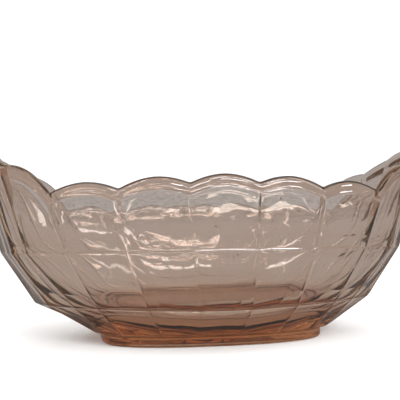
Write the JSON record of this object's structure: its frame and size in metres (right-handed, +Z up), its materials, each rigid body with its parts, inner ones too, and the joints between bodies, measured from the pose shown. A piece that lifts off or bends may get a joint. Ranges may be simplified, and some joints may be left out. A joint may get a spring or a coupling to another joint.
{
  "type": "oval pressed glass candy dish",
  "caption": "Oval boat-shaped pressed glass dish with raised ends, panelled outside, scalloped rim, smooth inside and low oval foot.",
  "frame": {"origin": "centre of the foot's resting face, on the surface that the dish stands on", "axes": "+Z up, X along the long axis from bow to bow, Y across the dish"},
  "size_m": [0.249, 0.123, 0.1042],
  "materials": {
    "pink_glass": "fire-polished transparent pale pink pressed glass, with faint ripples, a few seed bubbles and soft wear on the foot"
  },
  "bodies": {
    "root": {"pressed_glass_dish": "pink_glass"}
  },
  "joints": []
}
